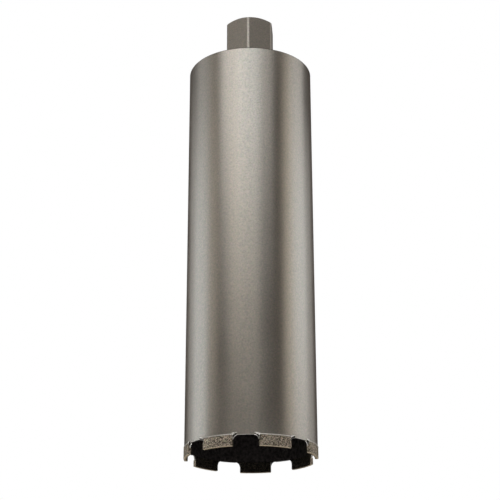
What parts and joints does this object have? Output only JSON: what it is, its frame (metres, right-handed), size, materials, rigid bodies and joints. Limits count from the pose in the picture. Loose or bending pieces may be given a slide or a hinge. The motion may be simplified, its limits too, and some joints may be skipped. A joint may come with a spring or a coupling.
{
  "type": "diamond core bit",
  "caption": "Wet core bit: a steel tube with welded diamond segments and water slots at its mouth, closed by a plate with a threaded hexagonal hub.",
  "frame": {"origin": "on the axis, in the cutting plane of the segments, where the bit stands on its crown", "axes": "+Z along the axis towards the threaded hub; a water slot and a corner of the hexagon face -Y, and two wrench flats face +X and -X"},
  "size_m": [0.112, 0.1113, 0.4085],
  "materials": {
    "barrel": "bead-blasted satin steel",
    "end_plate": "bead-blasted satin steel",
    "hub": "milled and blasted steel",
    "segment": "sintered metal with diamond grit"
  },
  "bodies": {
    "root": {"barrel": "barrel", "end_plate": "end_plate", "hub": "hub", "segment_1": "segment", "segment_2": "segment", "segment_3": "segment", "segment_4": "segment", "segment_5": "segment", "segment_6": "segment", "segment_7": "segment"}
  },
  "joints": []
}
